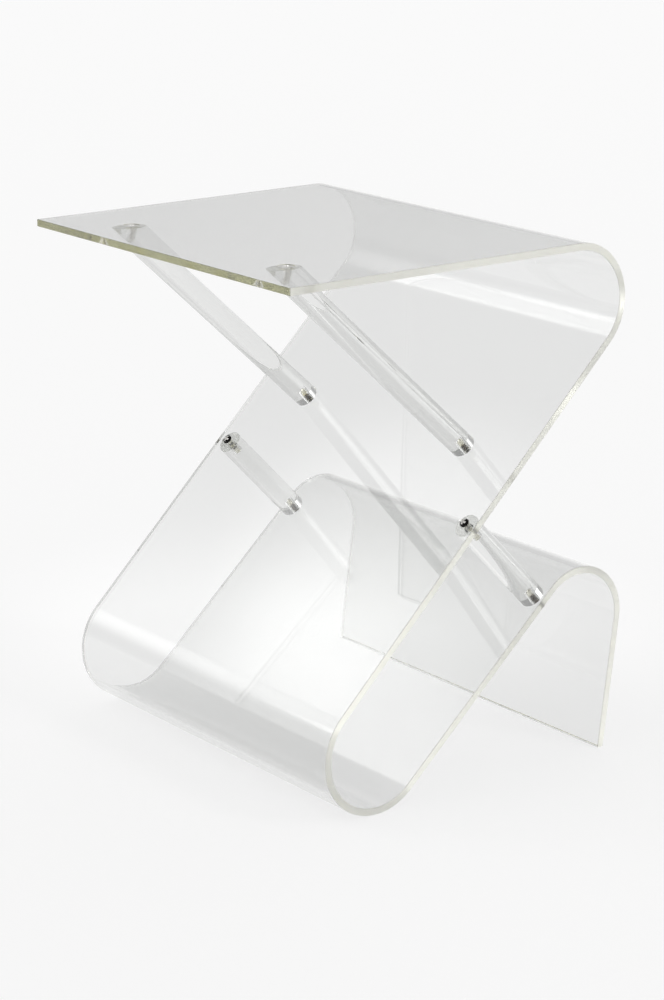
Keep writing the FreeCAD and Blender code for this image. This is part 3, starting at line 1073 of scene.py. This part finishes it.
class TABLE_OT_flat_screws(bpy.types.Operator):
    """Builds the countersunk screws in the tabletop"""

    bl_idname = "table.flat_screws"
    bl_label = "Countersunk screws"

    def execute(self, context):
        scene = context.scene
        layout = table_layout(scene)
        material = screw_steel("plated_screw", scene.table_finishes, scene.table_finishes.screw)
        sink = scene.table_sheet.thickness - scene.table_screws.flat_sink
        for side, sign in SIDES:
            top = layout.flat_hole.place + UP * sink + ACROSS * sign * layout.upper_y
            skin = flat_head_skin(scene, Axis(top, -UP))
            put(skin, f"flat_screw_{side}", f"tabletop_screw_{side}", material)
        return {"FINISHED"}


def place_camera(scene, stage):
    """Camera from its place, azimuth, elevation and roll. It looks against its azimuth and elevation."""
    azimuth, elevation, roll = stage.camera_azimuth, stage.camera_elevation, stage.camera_roll
    back = np.array([
        math.sin(azimuth) * math.cos(elevation),
        -math.cos(azimuth) * math.cos(elevation),
        math.sin(elevation),
    ])
    level = unit(np.cross(UP, back))
    upright = np.cross(back, level)
    right = math.cos(roll) * level + math.sin(roll) * upright
    upward = math.cos(roll) * upright - math.sin(roll) * level
    data = bpy.data.cameras.new("camera")
    data.lens = stage.lens
    data.sensor_width = SENSOR_WIDTH
    data.clip_end = SIGHT
    camera = bpy.data.objects.new("camera", data)
    pose = np.eye(4)
    pose[:3] = np.column_stack([right, upward, back, stage.camera_place])
    camera.matrix_world = Matrix(pose.tolist())
    scene.collection.objects.link(camera)
    scene.camera = camera


class TABLE_OT_stage(bpy.types.Operator):
    """Builds the pale floor, the studio light and the camera"""

    bl_idname = "table.stage"
    bl_label = "Stage"

    def execute(self, context):
        scene = context.scene
        stage = scene.table_stage
        reach = stage.floor_size / 2
        mesh = bpy.data.meshes.new("floor")
        ends = np.array([-reach, reach])
        corners = np.stack([*np.meshgrid(ends, ends), np.full((2, 2), -stage.floor_gap)], -1)
        mesh.from_pydata(corners.reshape(-1, 3).tolist(), [], [(0, 1, 3, 2)])
        mesh.materials.append(floor_paper(scene.table_finishes))
        floor = bpy.data.objects.new("floor", mesh)
        scene.collection.objects.link(floor)
        scene.world = bpy.data.worlds.new("studio")
        studio_light(scene.world)
        scene.view_settings.view_transform = "Standard"
        scene.cycles.max_bounces = LIGHT_BOUNCES
        scene.cycles.transmission_bounces = LIGHT_BOUNCES
        scene.cycles.glossy_bounces = LIGHT_BOUNCES
        place_camera(scene, stage)
        return {"FINISHED"}


class TABLE_PT_panel(bpy.types.Panel):
    """Lists the table's pieces in the sidebar"""

    bl_idname = "TABLE_PT_panel"
    bl_label = "Acrylic side table"
    bl_space_type = "VIEW_3D"
    bl_region_type = "UI"
    bl_category = "Table"

    def draw(self, context):
        for operator in OPERATORS:
            self.layout.operator(operator.bl_idname)
        for name, group in GROUPS.items():
            box = self.layout.box()
            box.label(text=group.__name__)
            for key in group.__annotations__:
                box.prop(getattr(context.scene, name), key)


OPERATORS = (
    TABLE_OT_sheet,
    TABLE_OT_stays,
    TABLE_OT_round_screws,
    TABLE_OT_flat_screws,
    TABLE_OT_stage,
)


def register():
    """Registers the classes and hangs the settings on the scene."""
    for cls in (*GROUPS.values(), *OPERATORS, TABLE_PT_panel):
        bpy.utils.register_class(cls)
    for name, group in GROUPS.items():
        setattr(bpy.types.Scene, name, PointerProperty(type=group))


def unregister():
    """Takes the settings and the classes away again."""
    for name in GROUPS:
        delattr(bpy.types.Scene, name)
    for cls in (TABLE_PT_panel, *OPERATORS[::-1], *reversed(GROUPS.values())):
        bpy.utils.unregister_class(cls)


def main():
    """Builds every piece and the stage."""
    register()
    bpy.ops.table.sheet()
    bpy.ops.table.stays()
    bpy.ops.table.round_screws()
    bpy.ops.table.flat_screws()
    bpy.ops.table.stage()


if __name__ == "__main__":
    main()
